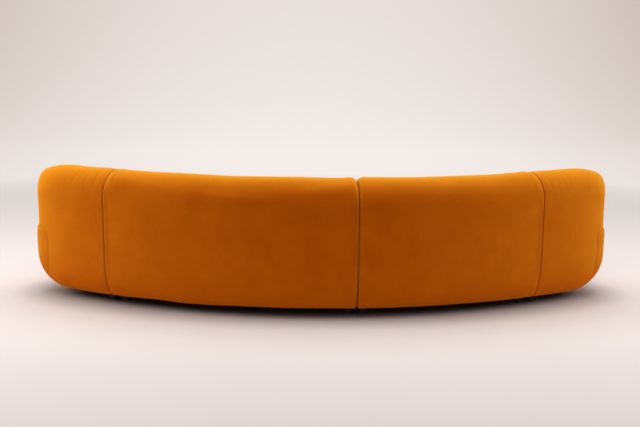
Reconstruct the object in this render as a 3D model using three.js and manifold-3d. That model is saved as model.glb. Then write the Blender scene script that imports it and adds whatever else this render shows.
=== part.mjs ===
// Curved sectional sofa: four upholstered modules that stand in one arc and clip together.
// Millimetres, +Z up, -Y towards the outside of the curve, +X to the right seen from behind.
import * as THREE from 'three';
import { mergeVertices } from 'three/addons/utils/BufferGeometryUtils.js';
import Module from 'manifold-3d';

// Plan of the row, measured along the outer face of the backs
const ROW_RADIUS = 2849;
const CENTRE_JOINT_ARC = 171;
const END_JOINT_ARC = 1204;
const ROW_END_ARC = 1741;
const STATION_SPACING = 200;

// Gap and softened edges between two neighbouring modules, at the middle joint and at the two end joints
const CENTRE_JOINT_GAP = 5;
const CENTRE_EDGE_RADIUS = 15;
const END_JOINT_GAP = 1.6;
const END_EDGE_RADIUS = 7;

// Heights
const BACK_HEIGHT = 720;
const FABRIC_CLEARANCE = 46;
const FRAME_CLEARANCE = 54;
const SEAT_EDGE_HEIGHT = 400;
const SEAT_CROWN = 22;

// Back section
const BACK_THICKNESS = 217;
const BACK_RAKE = 33;
const BACK_OUTER_RADIUS = 131;
const BACK_INNER_RADIUS = 74;
const TAPER_IN = 63;
const TAPER_HEIGHT = 213;
const BACK_END_LENGTH = 240;
const BACK_SHOULDER = 45;

// Seat section
const SEAT_DEPTH = 950;
const SEAT_REAR_SETBACK = 14;
const SEAT_REAR_EDGE_RADIUS = 45;
const SEAT_FRONT_EDGE_RADIUS = 75;
const SEAT_TAPER_HEIGHT = 200;
const SEAT_END_PROUD = 10;
const SEAT_REAR_CORNER = 170;
const SEAT_REAR_CORNER_DEPTH = 130;
const SEAT_FRONT_CORNER = 230;
const SEAT_END_SHOULDER = 60;
const SEAT_END_TAPER_IN = 230;
const SEAT_END_TAPER_HEIGHT = 175;

// Upholstery layers
const FABRIC = 2.4;
const SEAT_GAP = 1.2;
const TOUCH = 0.3;
const END_PADDING = 12;
const OVERRUN = 40;

// Timber base
const RAIL_THICKNESS = 45;
const RAIL_HEIGHT = 130;
const REAR_RAIL_INSET = 115;
const SEAT_FRONT_PADDING = 90;
const FRONT_RAIL_INSET = SEAT_DEPTH - SEAT_FRONT_PADDING - RAIL_THICKNESS;
const MEMBER_WIDTH = 40;
const MEMBER_SETBACK = 14;
const MAX_BAY = 285;
const END_FRAME_SETBACK = 170;

// Timber back frame and its board
const BACK_TOP_PADDING = 115;
const BACK_FRAME_TOP = BACK_HEIGHT - BACK_TOP_PADDING;
const TOP_RAIL_HEIGHT = 45;
const POST_WIDTH = 40;
const BOARD_THICKNESS = 5;
const CAVITY_CLEARANCE = 0.6;

// Webbing straps
const STRAP_WIDTH = 60;
const STRAP_THICKNESS = 2.5;
const STRAP_BEARING = 38;

// Dust cover
const DUST_THICKNESS = 1.2;
const DUST_EDGE = 6;

// Feet, each with a threaded stud that screws up into the frame
const FOOT_SIZE = 42;
const FOOT_FROM_JOINT = 42;
const FOOT_CHAMFER = 3;
const END_FOOT_INSET = 250;
const STUD_RADIUS = 4;
const STUD_LENGTH = 50;
const BORE_CLEARANCE = 0.4;

// Clips that join the modules
const CLIP_FROM_RAIL = 75;
const CLIP_REAR_INSET = REAR_RAIL_INSET + RAIL_THICKNESS + CLIP_FROM_RAIL;
const CLIP_FRONT_INSET = FRONT_RAIL_INSET - CLIP_FROM_RAIL;
const CLIP_WIDTH = 60;
const CLIP_PLATE = 3;
const TONGUE_WIDTH = 44;
const TONGUE_REACH = 34;
const TONGUE_DROP = 12;
const SLOT_CLEARANCE = 0.8;
const SOCKET_WALL = 3;
const SOCKET_DEPTH = 26;

// Shape of rounded ends: share of the length passed, and the power of the curve
const END_STEP_SHARES = [0, 0.34, 0.58, 0.76, 0.89, 0.97];
const END_POWER_SHARE = 2.1;
const CORNER_POWER_SHARE = 3;
const EDGE_STEP_SHARES = [0, 0.4, 0.72, 1];

// Shares of a length
const STATION_MARGIN_SHARE = 0.25;
const MEMBER_OVERLAP_SHARE = 0.33;
const POST_INSET_SHARE = 0.125;
const LEAST_MITRE_SHARE = 0.5;

// How finely curves are drawn
const EDGE_STEPS = 2;
const CORNER_STEPS = 3;
const TOP_STEPS = 4;
const CROWN_STEPS = 5;
const STUD_SIDES = 12;
const QUARTER = Math.PI / 2;

const COLOUR = {
  velvet: [0xb45c0c, 0.85, 0],
  foam: [0xe8dcae, 0.95, 0],
  timber: [0xc79a63, 0.7, 0],
  board: [0x9a6b3c, 0.8, 0],
  webbing: [0x2b2b2d, 0.9, 0],
  dust: [0x1c1c1e, 0.95, 0],
  foot: [0x131313, 0.55, 0],
  steel: [0x9a9ca0, 0.4, 0.9],
};

const wasm = await Module();
wasm.setup();

// Solids

function toSolid(geometry) {
  const position = geometry.getAttribute('position');
  const index = geometry.getIndex();
  return new wasm.Manifold(new wasm.Mesh({
    numProp: 3,
    vertProperties: new Float32Array(position.array),
    triVerts: new Uint32Array(index.array),
  }));
}

function toGeometry(solid) {
  const mesh = solid.getMesh();
  const geometry = new THREE.BufferGeometry();
  geometry.setAttribute('position', new THREE.BufferAttribute(new Float32Array(mesh.vertProperties), mesh.numProp));
  geometry.setIndex(new THREE.BufferAttribute(new Uint32Array(mesh.triVerts), 1));
  return geometry;
}

function union(solids) {
  return solids.reduce((whole, solid) => whole.add(solid));
}

const uprightPlane = (point) => new THREE.Vector2(point.n, point.z);
const levelPlane = (point) => new THREE.Vector2(point.x, point.y);

// A closed body through rings of points that all have the same count; its two ends are filled in one plane
function loftSolid(rings, plane = uprightPlane) {
  const count = rings[0].length;
  const points = rings.flat();
  const faces = [];
  for (let ring = 0; ring + 1 < rings.length; ring += 1) {
    for (let i = 0; i < count; i += 1) {
      const a = ring * count + i;
      const b = ring * count + ((i + 1) % count);
      faces.push(a, b, b + count, a, b + count, a + count);
    }
  }
  const last = (rings.length - 1) * count;
  for (const [a, b, c] of THREE.ShapeUtils.triangulateShape(rings[0].map(plane), [])) {
    faces.push(a, c, b);
    faces.push(last + a, last + b, last + c);
  }
  const array = new Float32Array(points.flatMap((point) => [point.x, point.y, point.z]));
  const geometry = new THREE.BufferGeometry();
  geometry.setAttribute('position', new THREE.BufferAttribute(array, 3));
  if (signedVolume(array, faces) < 0) {
    for (let i = 0; i < faces.length; i += 3) {
      [faces[i + 1], faces[i + 2]] = [faces[i + 2], faces[i + 1]];
    }
  }
  geometry.setIndex(faces);
  return toSolid(geometry);
}

function signedVolume(array, faces) {
  const corner = (i) => new THREE.Vector3(array[3 * i], array[3 * i + 1], array[3 * i + 2]);
  let volume = 0;
  for (let i = 0; i < faces.length; i += 3) {
    const cross = corner(faces[i + 1]).cross(corner(faces[i + 2]));
    volume += corner(faces[i]).dot(cross);
  }
  return volume;
}

// Places on the arc: n is the distance outside the outer face, negative towards the sitter

function arcPoint(arc, n, z) {
  const angle = arc / ROW_RADIUS;
  const radius = ROW_RADIUS + n;
  return { n, z, x: radius * Math.sin(angle), y: -radius * Math.cos(angle) };
}

// A point in the straight frame of one radial plane: t runs along the row, n outwards
function squarePoint(arc, t, n, z) {
  const angle = arc / ROW_RADIUS;
  const radius = ROW_RADIUS + n;
  return {
    n,
    z,
    x: radius * Math.sin(angle) + t * Math.cos(angle),
    y: -radius * Math.cos(angle) + t * Math.sin(angle),
  };
}

function squareBlock(arc, [t0, t1], [n0, n1], [z0, z1]) {
  const loop = [[n0, z0], [n1, z0], [n1, z1], [n0, z1]];
  return loftSolid([t0, t1].map((t) => loop.map(([n, z]) => squarePoint(arc, t, n, z))));
}

// Arc lengths between two ends, on a grid that always holds the middle of the row
function stations(from, to) {
  const list = [from];
  const margin = STATION_SPACING * STATION_MARGIN_SHARE;
  for (let k = Math.ceil(from / STATION_SPACING); k * STATION_SPACING < to; k += 1) {
    const arc = k * STATION_SPACING;
    if (arc > from + margin && arc < to - margin) list.push(arc);
  }
  list.push(to);
  return list;
}

function across(centre, width) {
  return [centre - width / 2, centre + width / 2];
}

function curvedBar(from, to, [n0, n1], [z0, z1]) {
  const loop = [[n0, z0], [n1, z0], [n1, z1], [n0, z1]];
  return loftSolid(stations(from, to).map((arc) => loop.map(([n, z]) => arcPoint(arc, n, z))));
}

function uprightCylinder(arc, t, n, radius, z0, z1) {
  const geometry = new THREE.CylinderGeometry(radius, radius, z1 - z0, STUD_SIDES);
  geometry.deleteAttribute('normal');
  geometry.deleteAttribute('uv');
  geometry.rotateX(QUARTER);
  const place = squarePoint(arc, t, n, (z0 + z1) / 2);
  geometry.translate(place.x, place.y, place.z);
  return toSolid(mergeVertices(geometry));
}

// Outlines in the plane of n and z

function quarter(centreN, centreZ, radiusN, radiusZ, fromAngle, toAngle, steps) {
  const points = [];
  for (let k = 0; k <= steps; k += 1) {
    const angle = fromAngle + ((toAngle - fromAngle) * k) / steps;
    points.push([centreN + radiusN * Math.cos(angle), centreZ + radiusZ * Math.sin(angle)]);
  }
  return points;
}

function backOutline() {
  const top = BACK_HEIGHT;
  return [
    ...quarter(-TAPER_IN, FABRIC_CLEARANCE + TAPER_HEIGHT, TAPER_IN, TAPER_HEIGHT, -QUARTER, 0, CORNER_STEPS),
    ...quarter(
      -BACK_OUTER_RADIUS,
      top - BACK_OUTER_RADIUS,
      BACK_OUTER_RADIUS,
      BACK_OUTER_RADIUS,
      0,
      QUARTER,
      TOP_STEPS,
    ),
    ...quarter(
      BACK_INNER_RADIUS - BACK_THICKNESS,
      top - BACK_INNER_RADIUS,
      BACK_INNER_RADIUS,
      BACK_INNER_RADIUS,
      QUARTER,
      2 * QUARTER,
      CORNER_STEPS,
    ),
    [-BACK_THICKNESS - BACK_RAKE, SEAT_EDGE_HEIGHT],
    [-BACK_THICKNESS - BACK_RAKE, FABRIC_CLEARANCE],
  ];
}

function seatOutline() {
  const rear = -SEAT_REAR_SETBACK;
  const front = -SEAT_DEPTH;
  const crownFrom = rear - SEAT_REAR_EDGE_RADIUS;
  const crownTo = front + SEAT_FRONT_EDGE_RADIUS;
  const crown = [];
  for (let k = 1; k < CROWN_STEPS; k += 1) {
    const rise = SEAT_CROWN * Math.sin((Math.PI * k) / CROWN_STEPS);
    crown.push([crownFrom + ((crownTo - crownFrom) * k) / CROWN_STEPS, SEAT_EDGE_HEIGHT + rise]);
  }
  return [
    ...quarter(
      rear - TAPER_IN,
      FABRIC_CLEARANCE + SEAT_TAPER_HEIGHT,
      TAPER_IN,
      SEAT_TAPER_HEIGHT,
      -QUARTER,
      0,
      CORNER_STEPS,
    ),
    ...quarter(
      crownFrom,
      SEAT_EDGE_HEIGHT - SEAT_REAR_EDGE_RADIUS,
      SEAT_REAR_EDGE_RADIUS,
      SEAT_REAR_EDGE_RADIUS,
      0,
      QUARTER,
      EDGE_STEPS,
    ),
    ...crown,
    ...quarter(
      crownTo,
      SEAT_EDGE_HEIGHT - SEAT_FRONT_EDGE_RADIUS,
      SEAT_FRONT_EDGE_RADIUS,
      SEAT_FRONT_EDGE_RADIUS,
      QUARTER,
      2 * QUARTER,
      CORNER_STEPS,
    ),
    ...quarter(
      front + TAPER_IN,
      FABRIC_CLEARANCE + SEAT_TAPER_HEIGHT,
      TAPER_IN,
      SEAT_TAPER_HEIGHT,
      2 * QUARTER,
      3 * QUARTER,
      CORNER_STEPS,
    ),
  ];
}

// The same closed outline moved inwards by one distance
function insetLoop(loop, inset) {
  const count = loop.length;
  return loop.map((point, i) => {
    const before = loop[(i + count - 1) % count];
    const after = loop[(i + 1) % count];
    const first = new THREE.Vector2(point[0] - before[0], point[1] - before[1]).normalize();
    const second = new THREE.Vector2(after[0] - point[0], after[1] - point[1]).normalize();
    const normal = new THREE.Vector2(-first.y - second.y, first.x + second.x).normalize();
    const mitre = inset / Math.max(normal.dot(new THREE.Vector2(-first.y, first.x)), LEAST_MITRE_SHARE);
    return [point[0] + normal.x * mitre, point[1] + normal.y * mitre];
  });
}

function roundShare(share, power) {
  return (1 - Math.min(Math.max(share, 0), 1) ** power) ** (1 / power);
}

// Modules and the joints between them

const centreEdge = { gap: CENTRE_JOINT_GAP, radius: CENTRE_EDGE_RADIUS };
const endEdge = { gap: END_JOINT_GAP, radius: END_EDGE_RADIUS };
const freeEdge = { gap: 0, radius: 0 };

const modules = [
  { name: 'left_end', from: -ROW_END_ARC, to: -END_JOINT_ARC, start: freeEdge, finish: endEdge, endSide: -1 },
  {
    name: 'left_centre',
    from: -END_JOINT_ARC,
    to: CENTRE_JOINT_ARC,
    start: endEdge,
    finish: centreEdge,
    endSide: 0,
  },
  {
    name: 'right_centre',
    from: CENTRE_JOINT_ARC,
    to: END_JOINT_ARC,
    start: centreEdge,
    finish: endEdge,
    endSide: 0,
  },
  { name: 'right_end', from: END_JOINT_ARC, to: ROW_END_ARC, start: endEdge, finish: freeEdge, endSide: 1 },
];

// Rings of a pad that ends flat at a joint, with softly rounded edges
function jointRings(loop, arc, inward, edge, inset) {
  const radius = Math.max(edge.radius - inset, 0);
  const face = arc + inward * (edge.gap / 2 + inset);
  if (radius === 0) return [loop.map(([n, z]) => arcPoint(face, n, z))];
  return EDGE_STEP_SHARES.map((share) => {
    const along = face + inward * radius * (1 - share);
    const ring = insetLoop(loop, radius * (1 - roundShare(share, 2)));
    return ring.map(([n, z]) => arcPoint(along, n, z));
  });
}

function remap(value, from, to, newFrom, newTo) {
  return newFrom + ((value - from) * (newTo - newFrom)) / (to - from);
}

// Rings of the rounded free end of a back
function backEndRings(loop, side, inset) {
  const tip = ROW_END_ARC - inset;
  const length = BACK_END_LENGTH - inset;
  const middle = -BACK_THICKNESS / 2;
  const waist = (FABRIC_CLEARANCE + BACK_HEIGHT) / 2;
  return END_STEP_SHARES.map((share) => {
    const arc = tip - length * (1 - share);
    const width = roundShare(share, END_POWER_SHARE);
    const rise = 1 - (BACK_SHOULDER / (BACK_HEIGHT - waist)) * (1 - width);
    const dip = 1 - (TAPER_HEIGHT / (waist - FABRIC_CLEARANCE)) * (1 - width);
    return loop.map(([n, z]) => {
      const height = z > waist ? waist + (z - waist) * rise : waist - (waist - z) * dip;
      return arcPoint(side * arc, middle + (n - middle) * width, height);
    });
  });
}

// Rings of the rounded free end of a seat
function seatEndRings(loop, side, inset) {
  const tip = ROW_END_ARC + SEAT_END_PROUD - inset;
  const rear = -SEAT_REAR_SETBACK - inset;
  const front = -SEAT_DEPTH + inset;
  const frontCorner = SEAT_FRONT_CORNER - inset;
  const rearCorner = SEAT_REAR_CORNER - inset;
  const waist = (FABRIC_CLEARANCE + SEAT_EDGE_HEIGHT) / 2;
  return END_STEP_SHARES.map((share) => {
    const arc = tip - frontCorner * (1 - share);
    const frontShare = roundShare(share, CORNER_POWER_SHARE);
    const rearShare = roundShare(1 - (tip - arc) / rearCorner, CORNER_POWER_SHARE);
    const topShare = roundShare(1 - (tip - arc) / SEAT_END_SHOULDER, 2);
    const footShare = roundShare(1 - (tip - arc) / SEAT_END_TAPER_IN, 2);
    const rise = 1 - (SEAT_END_SHOULDER / (SEAT_EDGE_HEIGHT - waist)) * (1 - topShare);
    const dip = 1 - (SEAT_END_TAPER_HEIGHT / (waist - FABRIC_CLEARANCE)) * (1 - footShare);
    const rearAt = rear - SEAT_REAR_CORNER_DEPTH * (1 - rearShare);
    const frontAt = front + SEAT_FRONT_CORNER * (1 - frontShare);
    return loop.map(([n, z]) => {
      const height = z > waist ? waist + (z - waist) * rise : waist - (waist - z) * dip;
      return arcPoint(side * arc, remap(n, front, rear, frontAt, rearAt), height);
    });
  });
}

function padSolid(module, outline, endRings, inset) {
  const shaped = insetLoop(outline, inset);
  const start = module.endSide < 0
    ? endRings(shaped, -1, inset).reverse()
    : jointRings(shaped, module.from, 1, module.start, inset).reverse();
  const finish = module.endSide > 0
    ? endRings(shaped, 1, inset)
    : jointRings(shaped, module.to, -1, module.finish, inset);
  const innerFrom = arcOf(start[start.length - 1]);
  const innerTo = arcOf(finish[0]);
  const middle = stations(innerFrom, innerTo).slice(1, -1);
  const rings = middle.map((arc) => shaped.map(([n, z]) => arcPoint(arc, n, z)));
  return loftSolid([...start, ...rings, ...finish]);
}

function arcOf(ring) {
  return Math.atan2(ring[0].x, -ring[0].y) * ROW_RADIUS;
}

const backPad = (module, inset) => padSolid(module, backOutline(), backEndRings, inset);
const seatPad = (module, inset) => padSolid(module, seatOutline(), seatEndRings, inset);

// Where the timber frame of a module runs
function frameSpan(module) {
  const near = END_PADDING + TOUCH;
  const from = module.endSide < 0 ? module.from + END_FRAME_SETBACK : module.from + module.start.gap / 2 + near;
  const to = module.endSide > 0 ? module.to - END_FRAME_SETBACK : module.to - module.finish.gap / 2 - near;
  return { from, to };
}

// Where its rails, board and straps stop, just clear of the foam
function timberEnds(module) {
  const { from, to } = frameSpan(module);
  return [from + CAVITY_CLEARANCE, to - CAVITY_CLEARANCE];
}

// Cross-members lie along each joint and at even steps between; t is their place beside the plane at arc
function memberPlaces(module) {
  const { from, to } = frameSpan(module);
  const first = module.endSide < 0
    ? { arc: from + MEMBER_WIDTH, t: 0 }
    : { arc: module.from, t: module.start.gap / 2 + MEMBER_SETBACK + MEMBER_WIDTH / 2 };
  const last = module.endSide > 0
    ? { arc: to - MEMBER_WIDTH, t: 0 }
    : { arc: module.to, t: -module.finish.gap / 2 - MEMBER_SETBACK - MEMBER_WIDTH / 2 };
  const start = first.arc + first.t;
  const length = last.arc + last.t - start;
  const bays = Math.max(Math.ceil(length / MAX_BAY), 1);
  const between = Array.from({ length: bays - 1 }, (_, k) => ({ arc: start + (length * (k + 1)) / bays, t: 0 }));
  return [first, ...between, last];
}

const RAIL_TOP = FRAME_CLEARANCE + RAIL_HEIGHT;
const DECK_TOP = RAIL_TOP + STRAP_THICKNESS + 2 * TOUCH;
const REAR_RAIL = [-REAR_RAIL_INSET - RAIL_THICKNESS, -REAR_RAIL_INSET];
const FRONT_RAIL = [-FRONT_RAIL_INSET - RAIL_THICKNESS, -FRONT_RAIL_INSET];
const CAVITY_REAR = -REAR_RAIL_INSET + BOARD_THICKNESS + TOUCH + CAVITY_CLEARANCE;
const CAVITY_FRONT = FRONT_RAIL[0] - CAVITY_CLEARANCE;

function deckZone(module) {
  const { from, to } = frameSpan(module);
  return curvedBar(from, to, [CAVITY_FRONT, CAVITY_REAR], [-OVERRUN, DECK_TOP]);
}

function backFrameZone(module) {
  const { from, to } = frameSpan(module);
  const front = REAR_RAIL[0] - CAVITY_CLEARANCE;
  return curvedBar(from, to, [front, CAVITY_REAR], [FABRIC_CLEARANCE, BACK_FRAME_TOP + CAVITY_CLEARANCE]);
}

function backCover(module) {
  return backPad(module, 0).subtract(backPad(module, FABRIC)).subtract(deckZone(module));
}

function backFoam(module) {
  return backPad(module, FABRIC + TOUCH).subtract(deckZone(module)).subtract(backFrameZone(module));
}

function seatBehindCut(module) {
  return backPad(module, -SEAT_GAP);
}

function seatCover(module) {
  const shell = seatPad(module, 0).subtract(seatPad(module, FABRIC));
  return shell.subtract(seatBehindCut(module)).subtract(deckZone(module));
}

function seatFoam(module) {
  const body = seatPad(module, FABRIC + TOUCH);
  return body.subtract(seatBehindCut(module)).subtract(deckZone(module));
}

// Feet stand by the joints, and further in under a free end
function footPlaces(module) {
  const rear = (REAR_RAIL[0] + REAR_RAIL[1]) / 2;
  const front = (FRONT_RAIL[0] + FRONT_RAIL[1]) / 2;
  const places = [];
  const members = memberPlaces(module);
  const atStart = module.endSide < 0 ? [members[0].arc, 0] : [module.from, FOOT_FROM_JOINT];
  const atFinish = module.endSide > 0 ? [members[members.length - 1].arc, 0] : [module.to, -FOOT_FROM_JOINT];
  for (const [side, [arc, t]] of Object.entries({ left: atStart, right: atFinish })) {
    const rearPlace = t === 0 ? -END_FOOT_INSET : rear;
    places.push({ name: `rear_${side}`, arc, t, n: rearPlace }, { name: `front_${side}`, arc, t, n: front });
  }
  return places;
}

function foot({ arc, t, n }) {
  const half = FOOT_SIZE / 2;
  const top = FRAME_CLEARANCE - TOUCH;
  const ring = (shrink, z) => {
    const reach = half - shrink;
    const corners = [[-reach, -reach], [-reach, reach], [reach, reach], [reach, -reach]];
    return corners.map(([dt, dn]) => squarePoint(arc, t + dt, n + dn, z));
  };
  const block = loftSolid([ring(FOOT_CHAMFER, 0), ring(0, FOOT_CHAMFER), ring(0, top)], levelPlane);
  return block.add(uprightCylinder(arc, t, n, STUD_RADIUS, top / 2, FRAME_CLEARANCE + STUD_LENGTH));
}

function baseFrame(module) {
  const ends = timberEnds(module);
  const rails = [REAR_RAIL, FRONT_RAIL].map((rail) => curvedBar(...ends, rail, [FRAME_CLEARANCE, RAIL_TOP]));
  const half = MEMBER_WIDTH / 2;
  const overlap = RAIL_THICKNESS * MEMBER_OVERLAP_SHARE;
  const span = [FRONT_RAIL[1] - overlap, REAR_RAIL[0] + overlap];
  const members = memberPlaces(module).map(({ arc, t }) => (
    squareBlock(arc, [t - half, t + half], span, [FRAME_CLEARANCE, RAIL_TOP])
  ));
  const bores = footPlaces(module).map(({ arc, t, n }) => (
    uprightCylinder(arc, t, n, STUD_RADIUS + BORE_CLEARANCE, 0, FRAME_CLEARANCE + STUD_LENGTH + TOUCH)
  ));
  return bores.reduce((frame, bore) => frame.subtract(bore), union([...rails, ...members]));
}

function backFrame(module) {
  const topRail = curvedBar(...timberEnds(module), REAR_RAIL, [BACK_FRAME_TOP - TOP_RAIL_HEIGHT, BACK_FRAME_TOP]);
  const half = POST_WIDTH / 2;
  const inset = RAIL_THICKNESS * POST_INSET_SHARE;
  const posts = memberPlaces(module).map(({ arc, t }) => squareBlock(
    arc,
    [t - half, t + half],
    [REAR_RAIL[0] + inset, REAR_RAIL[1] - inset],
    [RAIL_TOP + TOUCH, BACK_FRAME_TOP - TOP_RAIL_HEIGHT / 2],
  ));
  return union([topRail, ...posts]);
}

function backBoard(module) {
  const rear = -REAR_RAIL_INSET + TOUCH;
  return curvedBar(...timberEnds(module), [rear, rear + BOARD_THICKNESS], [FRAME_CLEARANCE, BACK_FRAME_TOP]);
}

function webbing(module) {
  const places = memberPlaces(module).map(({ arc, t }) => arc + t);
  const half = STRAP_WIDTH / 2;
  const z0 = RAIL_TOP + TOUCH;
  const span = [FRONT_RAIL[1] - STRAP_BEARING, REAR_RAIL[0] + STRAP_BEARING];
  const level = [z0, z0 + STRAP_THICKNESS];
  const straps = places.slice(1).map((arc, k) => squareBlock((arc + places[k]) / 2, [-half, half], span, level));
  const cross = curvedBar(...timberEnds(module), across((span[0] + span[1]) / 2, STRAP_WIDTH), level);
  return union([...straps, cross]);
}

function dustCover(module) {
  const members = memberPlaces(module);
  const spread = ROW_RADIUS / (ROW_RADIUS + FRONT_RAIL[0]);
  const atMember = (FOOT_SIZE / 2 + DUST_EDGE) * spread;
  const atJoint = (FOOT_FROM_JOINT + FOOT_SIZE / 2 + DUST_EDGE) * spread;
  const from = module.endSide < 0 ? members[0].arc + atMember : module.from + atJoint;
  const to = module.endSide > 0 ? members[members.length - 1].arc - atMember : module.to - atJoint;
  const top = FRAME_CLEARANCE - TOUCH;
  const span = [FRONT_RAIL[0] + DUST_EDGE, REAR_RAIL[1] - DUST_EDGE];
  return curvedBar(from, to, span, [top - DUST_THICKNESS, top]);
}

// Clips: a tongue on one module slides into a socket on its neighbour

const joints = [
  { name: 'left_joint', arc: -END_JOINT_ARC, gap: endEdge.gap, side: 1 },
  { name: 'centre_joint', arc: CENTRE_JOINT_ARC, gap: centreEdge.gap, side: -1 },
  { name: 'right_joint', arc: END_JOINT_ARC, gap: endEdge.gap, side: -1 },
];

const CLIP_TOP = FRAME_CLEARANCE - TOUCH;
const TONGUE_TOP = CLIP_TOP - TONGUE_DROP;

function clipSpan(joint, side, near, far) {
  const edge = joint.gap / 2 + MEMBER_SETBACK;
  return side > 0 ? [edge + near, edge + far] : [-edge - far, -edge - near];
}

// The steel strip under the end cross-member that carries both tongues or both sockets
function clipBar(joint, side) {
  const reach = [-CLIP_FRONT_INSET - CLIP_WIDTH / 2, -CLIP_REAR_INSET + CLIP_WIDTH / 2];
  return squareBlock(joint.arc, clipSpan(joint, side, 0, MEMBER_WIDTH), reach, [CLIP_TOP - CLIP_PLATE, CLIP_TOP]);
}

function clipBlock(joint, side, [near, far], centre, width, levels) {
  return squareBlock(joint.arc, clipSpan(joint, side, near, far), across(centre, width), levels);
}

const clipCentres = [-CLIP_REAR_INSET, -CLIP_FRONT_INSET];

function socketBar(joint) {
  const side = joint.side;
  const slotFoot = TONGUE_TOP - CLIP_PLATE - SLOT_CLEARANCE;
  const slotWidth = TONGUE_WIDTH + 2 * SLOT_CLEARANCE;
  const boxLevels = [slotFoot - SOCKET_WALL, CLIP_TOP - CLIP_PLATE / 2];
  const slotLevels = [slotFoot, TONGUE_TOP + SLOT_CLEARANCE];
  return clipCentres.reduce((bar, n) => {
    const socket = clipBlock(joint, side, [0, SOCKET_DEPTH], n, slotWidth + 2 * SOCKET_WALL, boxLevels);
    const slot = clipBlock(joint, side, [-SOCKET_WALL, SOCKET_DEPTH + SOCKET_WALL], n, slotWidth, slotLevels);
    return bar.add(socket).subtract(slot);
  }, clipBar(joint, side));
}

function tongueBar(joint) {
  const side = -joint.side;
  const reach = 2 * MEMBER_SETBACK + joint.gap + TONGUE_REACH;
  return clipCentres.reduce((bar, n) => {
    const riserLevels = [TONGUE_TOP - CLIP_PLATE, CLIP_TOP - CLIP_PLATE / 2];
    const riser = clipBlock(joint, side, [0, CLIP_PLATE], n, TONGUE_WIDTH, riserLevels);
    const tongueLevels = [TONGUE_TOP - CLIP_PLATE, TONGUE_TOP];
    const tongue = clipBlock(joint, side, [-reach, CLIP_PLATE], n, TONGUE_WIDTH, tongueLevels);
    return bar.add(riser).add(tongue);
  }, clipBar(joint, side));
}

const group = new THREE.Group();

function addPiece(name, solid, [colour, roughness, metalness]) {
  const material = new THREE.MeshStandardMaterial({ color: colour, roughness, metalness });
  const mesh = new THREE.Mesh(toGeometry(solid), material);
  mesh.name = name;
  group.add(mesh);
}

for (const module of modules) {
  addPiece(`${module.name}_base_frame`, baseFrame(module), COLOUR.timber);
  addPiece(`${module.name}_back_frame`, backFrame(module), COLOUR.timber);
  addPiece(`${module.name}_back_board`, backBoard(module), COLOUR.board);
  addPiece(`${module.name}_webbing`, webbing(module), COLOUR.webbing);
  addPiece(`${module.name}_seat_foam`, seatFoam(module), COLOUR.foam);
  addPiece(`${module.name}_back_foam`, backFoam(module), COLOUR.foam);
  addPiece(`${module.name}_seat_cover`, seatCover(module), COLOUR.velvet);
  addPiece(`${module.name}_back_cover`, backCover(module), COLOUR.velvet);
  addPiece(`${module.name}_dust_cover`, dustCover(module), COLOUR.dust);
  for (const place of footPlaces(module)) {
    addPiece(`${module.name}_foot_${place.name}`, foot(place), COLOUR.foot);
  }
}

for (const joint of joints) {
  addPiece(`${joint.name}_socket_bar`, socketBar(joint), COLOUR.steel);
  addPiece(`${joint.name}_tongue_bar`, tongueBar(joint), COLOUR.steel);
}

// The origin is the middle of the footprint, on the floor
const box = new THREE.Box3().setFromObject(group);
group.position.set(0, -(box.min.y + box.max.y) / 2, 0);

export default group;
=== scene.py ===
import math

import bmesh
import bpy
import numpy as np
from bpy.props import FloatProperty, FloatVectorProperty, IntProperty, PointerProperty
from mathutils import Matrix, Vector


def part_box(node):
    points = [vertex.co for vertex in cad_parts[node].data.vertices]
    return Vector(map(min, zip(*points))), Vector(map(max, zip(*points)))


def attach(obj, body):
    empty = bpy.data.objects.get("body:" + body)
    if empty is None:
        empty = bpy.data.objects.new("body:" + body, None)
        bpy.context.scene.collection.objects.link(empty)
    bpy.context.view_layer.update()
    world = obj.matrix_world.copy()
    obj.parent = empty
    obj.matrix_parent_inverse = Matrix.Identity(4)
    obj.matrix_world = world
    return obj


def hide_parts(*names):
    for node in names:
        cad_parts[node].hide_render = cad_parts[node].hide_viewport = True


bl_info = {
    "name": "Curved sectional sofa",
    "version": (1, 0, 0),
    "blender": (4, 5, 0),
    "location": "3D View > Sidebar > Sofa",
    "description": "Upholstery, finishes and studio for the packed curved sofa",
    "category": "Object",
}

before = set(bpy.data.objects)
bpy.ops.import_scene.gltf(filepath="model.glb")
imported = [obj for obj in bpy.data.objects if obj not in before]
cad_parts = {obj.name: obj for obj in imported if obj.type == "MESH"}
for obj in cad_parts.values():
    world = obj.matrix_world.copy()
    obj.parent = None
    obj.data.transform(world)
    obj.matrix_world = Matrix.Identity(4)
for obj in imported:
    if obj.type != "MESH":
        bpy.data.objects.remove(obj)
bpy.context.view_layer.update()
REARMOST = min(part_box(name)[0][1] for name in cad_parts)


# Sizes and colours that a user would change


class SofaRow(bpy.types.PropertyGroup):
    """Plan of the row, as the packed model has it"""

    radius: FloatProperty(
        name="Row radius", description="Radius of the outer face of the backs",
        default=2.849, min=1.0, unit="LENGTH")
    centre_joint: FloatProperty(
        name="Middle joint", description="Place of the middle joint along the outer face",
        default=0.171, unit="LENGTH")
    end_joint: FloatProperty(
        name="End joints", description="Place of the two end joints along the outer face",
        default=1.204, unit="LENGTH")
    row_end: FloatProperty(
        name="Row end", description="Place of the rounded tips along the outer face",
        default=1.741, unit="LENGTH")
    centre_gap: FloatProperty(
        name="Middle gap", description="Gap between the two centre modules",
        default=0.0035, min=0.0, unit="LENGTH")
    end_gap: FloatProperty(
        name="End gap", description="Gap between a centre module and an end module",
        default=0.0016, min=0.0, unit="LENGTH")
    centre_edge: FloatProperty(
        name="Middle edge radius", description="Soft edge of the pads at the middle joint",
        default=0.012, min=0.001, unit="LENGTH")
    end_edge: FloatProperty(
        name="End edge radius", description="Soft edge of the pads at the end joints",
        default=0.007, min=0.001, unit="LENGTH")


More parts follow.
